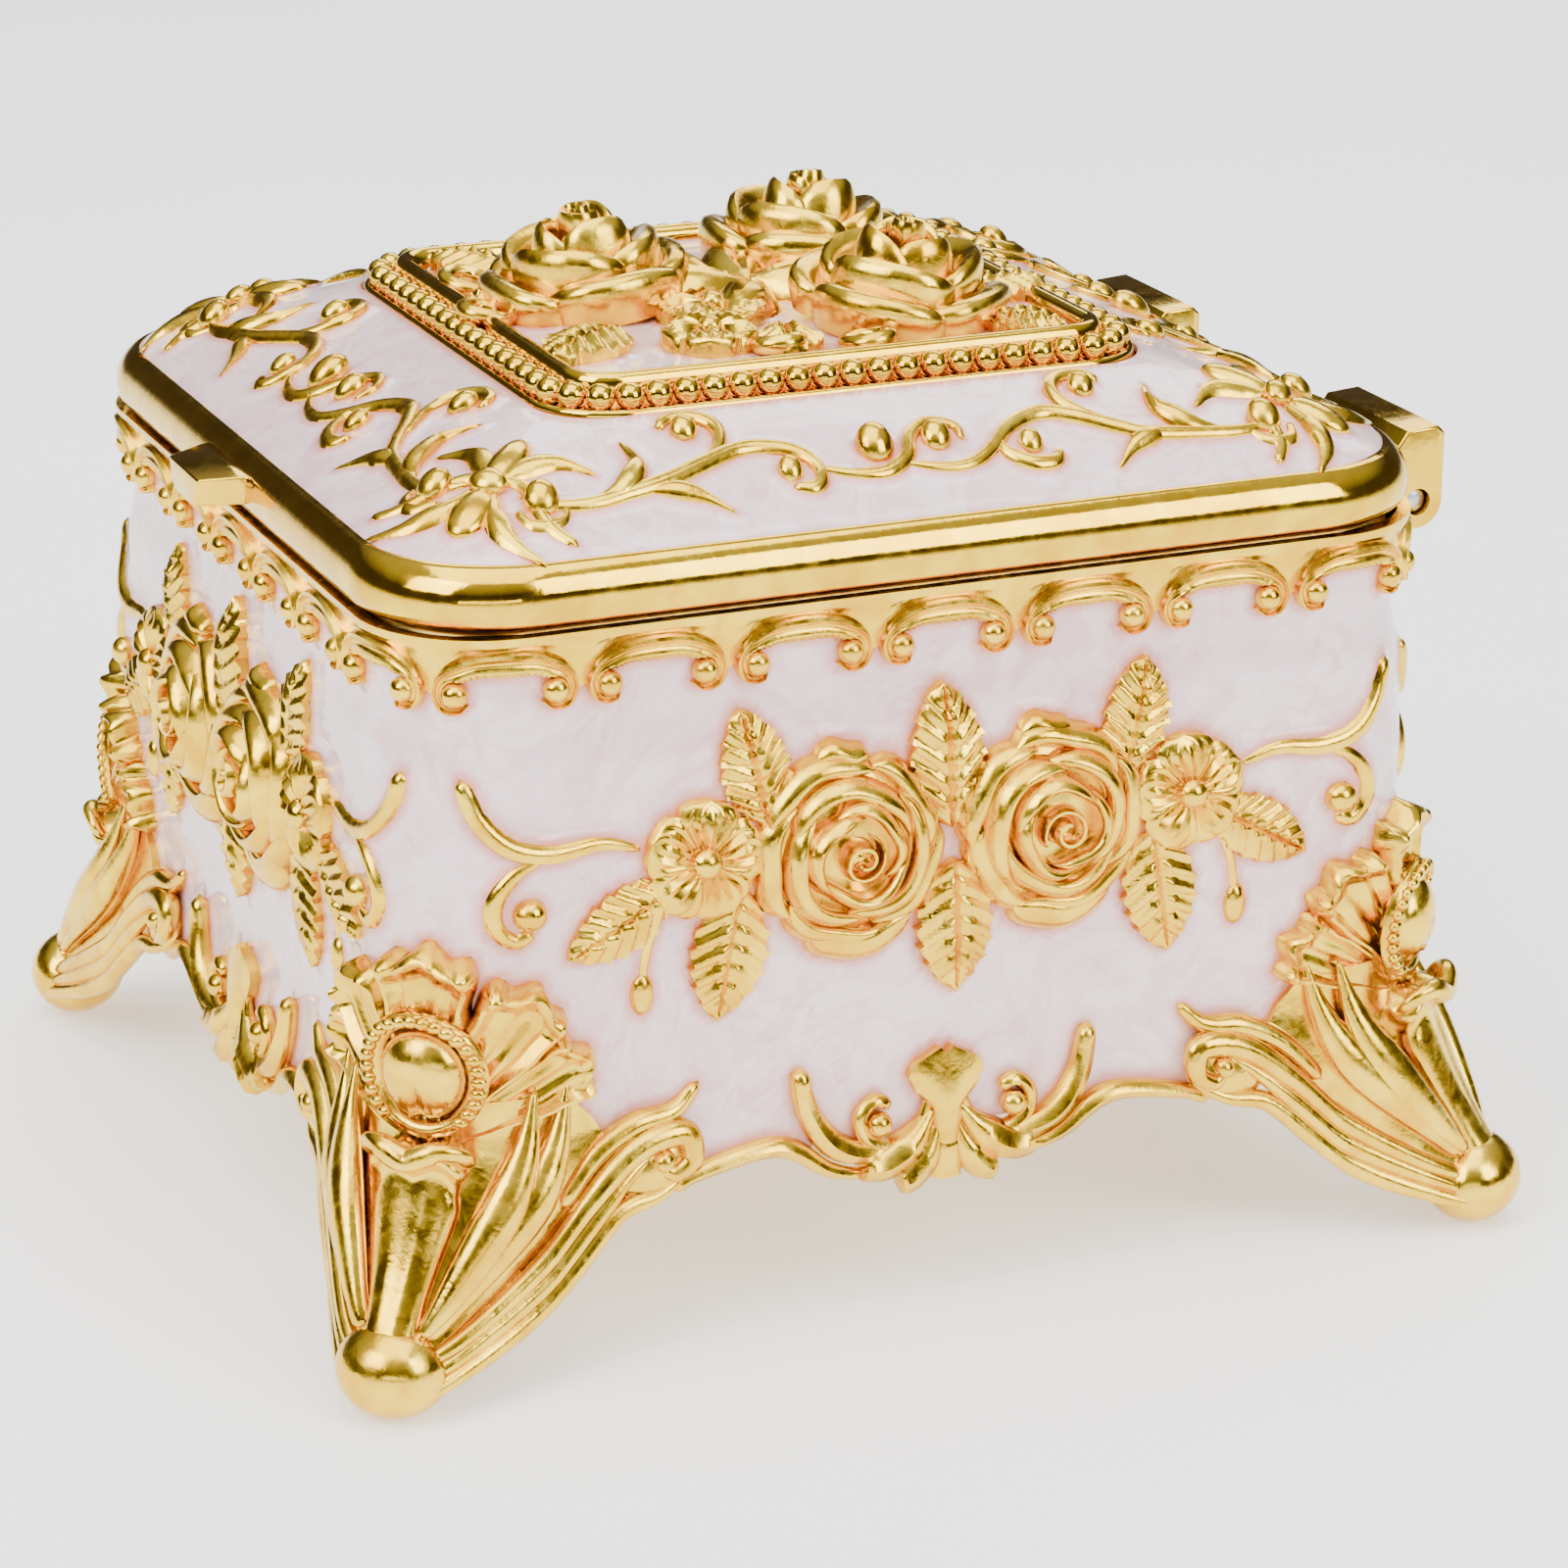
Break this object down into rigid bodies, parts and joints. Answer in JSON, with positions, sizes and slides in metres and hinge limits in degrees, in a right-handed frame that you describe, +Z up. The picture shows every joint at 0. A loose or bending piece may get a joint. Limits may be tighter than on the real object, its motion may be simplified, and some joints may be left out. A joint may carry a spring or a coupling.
{
  "type": "trinket box",
  "caption": "Footed rectangular trinket box in cast gilt metal with pearl enamel panels, rose garlands in relief and a domed lid on a rear hinge.",
  "frame": {"origin": "middle of the footprint, on the plane the toes stand on", "axes": "+Z up, -Y towards the front with the thumb lift, +Y towards the hinge, +X to the right seen from the front"},
  "size_m": [0.0918, 0.0966, 0.0782],
  "materials": {
    "gold_plate": "polished cast and gilded",
    "pearl_enamel": "glossy pearl enamel with swirls",
    "pin_steel": "plain",
    "lining_velvet": "short pile"
  },
  "bodies": {
    "box": {"body_enamel": "pearl_enamel", "body_shell": "gold_plate", "floor_lining": "lining_velvet", "foot_front_left": "gold_plate", "foot_front_right": "gold_plate", "foot_rear_left": "gold_plate", "foot_rear_right": "gold_plate", "garland_front": "gold_plate", "garland_left": "gold_plate", "garland_rear": "gold_plate", "garland_right": "gold_plate", "hinge_barrel": "gold_plate", "hinge_pin": "pin_steel", "palmette_front": "gold_plate", "palmette_left": "gold_plate", "palmette_rear": "gold_plate", "palmette_right": "gold_plate", "scallop_gallery": "gold_plate", "tendril_front_left_a": "gold_plate", "tendril_front_left_b": "gold_plate", "tendril_front_right_a": "gold_plate", "tendril_front_right_b": "gold_plate", "tendril_rear_left_a": "gold_plate", "tendril_rear_left_b": "gold_plate", "tendril_rear_right_a": "gold_plate", "tendril_rear_right_b": "gold_plate"},
    "lid": {"bead_frame": "gold_plate", "hinge_arm_left": "gold_plate", "hinge_arm_right": "gold_plate", "lid_border_enamel": "pearl_enamel", "lid_knot_front_left": "gold_plate", "lid_knot_front_right": "gold_plate", "lid_knot_rear_left": "gold_plate", "lid_knot_rear_right": "gold_plate", "lid_leaf_spray": "gold_plate", "lid_panel_enamel": "pearl_enamel", "lid_rose_front": "gold_plate", "lid_rose_left": "gold_plate", "lid_rose_right": "gold_plate", "lid_scroll_front_a": "gold_plate", "lid_scroll_front_b": "gold_plate", "lid_scroll_left_a": "gold_plate", "lid_scroll_left_b": "gold_plate", "lid_scroll_rear_a": "gold_plate", "lid_scroll_rear_b": "gold_plate", "lid_scroll_right_a": "gold_plate", "lid_scroll_right_b": "gold_plate", "lid_shell": "gold_plate", "thumb_lift": "gold_plate"}
  },
  "joints": [
    {"name": "lid_hinge", "type": "hinge", "parent": "box", "child": "lid", "pos_m": [0, 0.046, 0.0542], "axis": [-1, 0, 0], "range_deg": [0, 100]}
  ]
}
